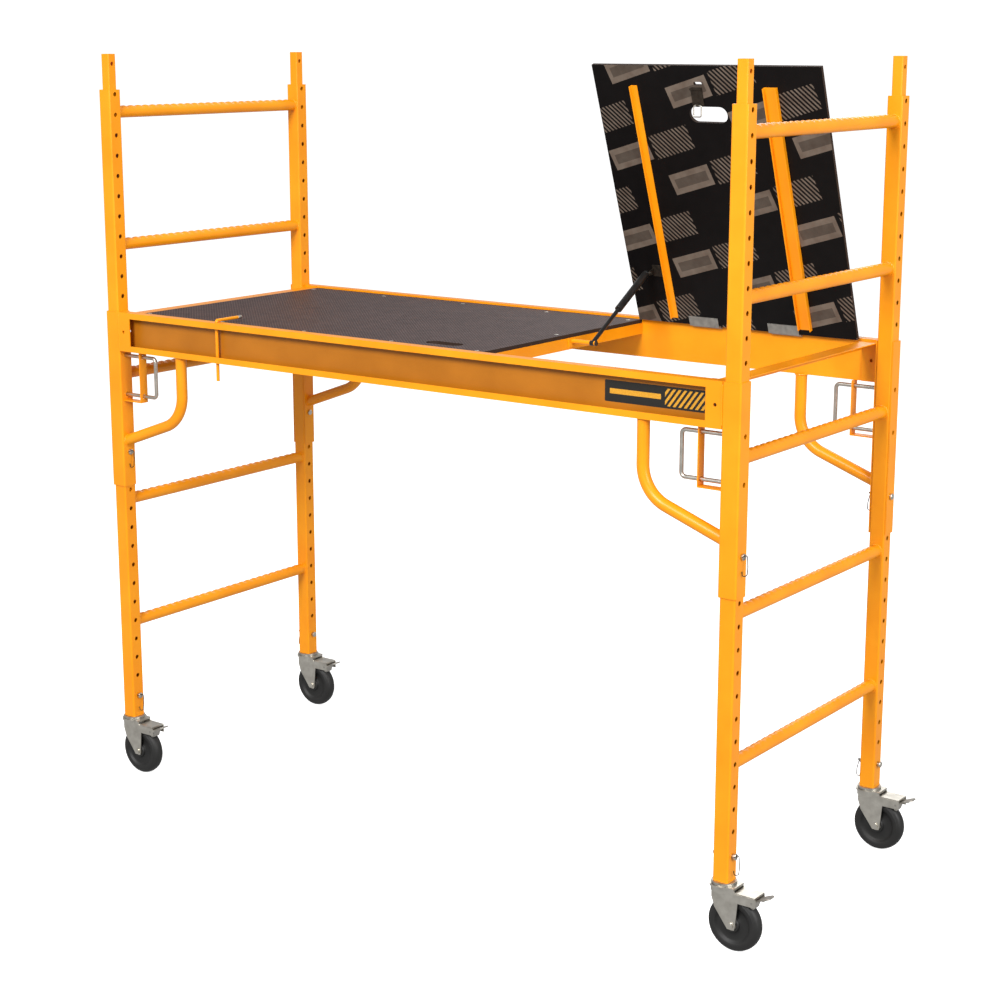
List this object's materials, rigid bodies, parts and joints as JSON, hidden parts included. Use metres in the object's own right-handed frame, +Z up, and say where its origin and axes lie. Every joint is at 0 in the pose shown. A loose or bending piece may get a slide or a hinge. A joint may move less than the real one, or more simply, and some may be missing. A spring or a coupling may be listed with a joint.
{
  "type": "baker scaffold",
  "caption": "Baker scaffold: two yellow ladder end frames on locking casters, joined by a height-adjustable platform with a hinged hatch held open",
  "frame": {"origin": "on the floor, at the middle of the overall length and width, casters and pedals included", "axes": "+X along the length towards the hatch end, +Y across towards the hatch's hinge side, +Z up"},
  "size_m": [1.9772, 0.7634, 1.8922],
  "materials": {
    "powder": "yellow-orange powder-coated steel, semi-gloss, light wear at the joints",
    "zinc": "bright zinc-plated steel",
    "dark_zinc": "dull zinc-plated steel, pressed",
    "film_ply": "brown film-faced plywood with a fine non-slip mesh, semi-matte",
    "hatch_ply": "black film-faced plywood, semi-matte",
    "polyurethane": "charcoal solid polyurethane, satin",
    "gas_spring_black": "black satin painted steel tube",
    "rod_steel": "polished hard-chromed rod",
    "latch_steel": "dark grey-brown pressed steel, matte"
  },
  "bodies": {
    "frame": {"upper_post_front_left": "powder", "lower_post_front_left": "powder", "sleeve_front_left": "powder", "knee_brace_front_left": "powder", "upper_post_front_right": "powder", "lower_post_front_right": "powder", "sleeve_front_right": "powder", "knee_brace_front_right": "powder", "upper_post_back_left": "powder", "lower_post_back_left": "powder", "sleeve_back_left": "powder", "knee_brace_back_left": "powder", "upper_post_back_right": "powder", "lower_post_back_right": "powder", "sleeve_back_right": "powder", "knee_brace_back_right": "powder", "upper_rungs_left": "powder", "lower_rungs_left": "powder", "upper_rungs_right": "powder", "lower_rungs_right": "powder", "top_spigots": "powder", "splice_spigots": "powder", "front_rail": "powder", "back_rail": "powder", "deck_ledges": "powder", "end_plates": "powder", "lock_straps": "powder", "cross_members": "powder", "deck_panel": "film_ply", "deck_screws": "zinc", "lock_pins": "zinc", "hinge_fixed_leaves": "dark_zinc", "stay_stud": "zinc", "caster_stems": "dark_zinc"},
    "hatch": {"hatch_panel": "hatch_ply", "hatch_stiffeners": "powder", "hinge_moving_leaves": "dark_zinc", "latch_plate": "latch_steel", "stay_hatch_bracket": "dark_zinc"},
    "stay_lower": {"stay_rod": "rod_steel"},
    "stay_upper": {"stay_tube": "gas_spring_black"},
    "pull": {"latch_pull": "zinc"},
    "hook": {"hook_rod": "zinc"},
    "lock_front_left": {"u_lock_front_left": "zinc"},
    "swivel_front_left": {"caster_yoke_front_left": "zinc"},
    "wheel_front_left": {"caster_wheel_front_left": "polyurethane"},
    "brake_front_left": {"brake_pedal_front_left": "dark_zinc"},
    "lock_front_right": {"u_lock_front_right": "zinc"},
    "swivel_front_right": {"caster_yoke_front_right": "zinc"},
    "wheel_front_right": {"caster_wheel_front_right": "polyurethane"},
    "brake_front_right": {"brake_pedal_front_right": "dark_zinc"},
    "lock_back_left": {"u_lock_back_left": "zinc"},
    "swivel_back_left": {"caster_yoke_back_left": "zinc"},
    "wheel_back_left": {"caster_wheel_back_left": "polyurethane"},
    "brake_back_left": {"brake_pedal_back_left": "dark_zinc"},
    "lock_back_right": {"u_lock_back_right": "zinc"},
    "swivel_back_right": {"caster_yoke_back_right": "zinc"},
    "wheel_back_right": {"caster_wheel_back_right": "polyurethane"},
    "brake_back_right": {"brake_pedal_back_right": "dark_zinc"}
  },
  "joints": [
    {"name": "hatch_hinge", "type": "hinge", "parent": "frame", "child": "hatch", "pos_m": [0.49917, 0.341, 1.2415], "axis": [-1, 0, 0], "range_deg": [-70, 0]},
    {"name": "stay_swing", "type": "hinge", "parent": "frame", "child": "stay_lower", "pos_m": [0.25917, 0.031, 1.224], "axis": [1, 0, 0], "range_deg": [-35, 0]},
    {"name": "stay_stroke", "type": "slide", "parent": "stay_lower", "child": "stay_upper", "axis": [0, 0.8509, 0.5253], "range_m": [-0.11124, 0]},
    {"name": "latch_pull_hinge", "type": "hinge", "parent": "hatch", "child": "pull", "pos_m": [0.47617, 0.12869, 1.78038], "axis": [1, 0, 0], "range_deg": [-100, 18]},
    {"name": "hook_swivel", "type": "hinge", "parent": "frame", "child": "hook", "pos_m": [-0.59283, -0.36, 1.15], "axis": [0, 0, 1], "range_deg": [-180, 0]},
    {"name": "lock_slide_front_left", "type": "slide", "parent": "frame", "child": "lock_front_left", "axis": [1, 0, 0], "range_m": [0, 0.027]},
    {"name": "swivel_front_left", "type": "hinge", "parent": "frame", "child": "swivel_front_left", "pos_m": [-0.95183, -0.3497, 0.146], "axis": [0, 0, 1], "continuous": true},
    {"name": "axle_front_left", "type": "hinge", "parent": "swivel_front_left", "child": "wheel_front_left", "pos_m": [-0.92183, -0.3497, 0.0635], "axis": [0, 1, 0], "continuous": true},
    {"name": "brake_front_left", "type": "hinge", "parent": "swivel_front_left", "child": "brake_front_left", "pos_m": [-0.87183, -0.3497, 0.127], "axis": [0, 1, 0], "range_deg": [0, 25]},
    {"name": "lock_slide_front_right", "type": "slide", "parent": "frame", "child": "lock_front_right", "axis": [-1, 0, 0], "range_m": [0, 0.027]},
    {"name": "swivel_front_right", "type": "hinge", "parent": "frame", "child": "swivel_front_right", "pos_m": [0.87017, -0.3497, 0.146], "axis": [0, 0, 1], "continuous": true},
    {"name": "axle_front_right", "type": "hinge", "parent": "swivel_front_right", "child": "wheel_front_right", "pos_m": [0.90017, -0.3497, 0.0635], "axis": [0, 1, 0], "continuous": true},
    {"name": "brake_front_right", "type": "hinge", "parent": "swivel_front_right", "child": "brake_front_right", "pos_m": [0.95017, -0.3497, 0.127], "axis": [0, 1, 0], "range_deg": [0, 25]},
    {"name": "lock_slide_back_left", "type": "slide", "parent": "frame", "child": "lock_back_left", "axis": [1, 0, 0], "range_m": [0, 0.027]},
    {"name": "swivel_back_left", "type": "hinge", "parent": "frame", "child": "swivel_back_left", "pos_m": [-0.95183, 0.3497, 0.146], "axis": [0, 0, 1], "continuous": true},
    {"name": "axle_back_left", "type": "hinge", "parent": "swivel_back_left", "child": "wheel_back_left", "pos_m": [-0.92183, 0.3497, 0.0635], "axis": [0, 1, 0], "continuous": true},
    {"name": "brake_back_left", "type": "hinge", "parent": "swivel_back_left", "child": "brake_back_left", "pos_m": [-0.87183, 0.3497, 0.127], "axis": [0, 1, 0], "range_deg": [0, 25]},
    {"name": "lock_slide_back_right", "type": "slide", "parent": "frame", "child": "lock_back_right", "axis": [-1, 0, 0], "range_m": [0, 0.027]},
    {"name": "swivel_back_right", "type": "hinge", "parent": "frame", "child": "swivel_back_right", "pos_m": [0.87017, 0.3497, 0.146], "axis": [0, 0, 1], "continuous": true},
    {"name": "axle_back_right", "type": "hinge", "parent": "swivel_back_right", "child": "wheel_back_right", "pos_m": [0.90017, 0.3497, 0.0635], "axis": [0, 1, 0], "continuous": true},
    {"name": "brake_back_right", "type": "hinge", "parent": "swivel_back_right", "child": "brake_back_right", "pos_m": [0.95017, 0.3497, 0.127], "axis": [0, 1, 0], "range_deg": [0, 25]}
  ],
  "couplings": [
    {"joint": "stay_swing", "follows": "hatch_hinge", "ratio": 0.5},
    {"joint": "stay_stroke", "follows": "hatch_hinge", "m_per_rad": 0.09105}
  ]
}
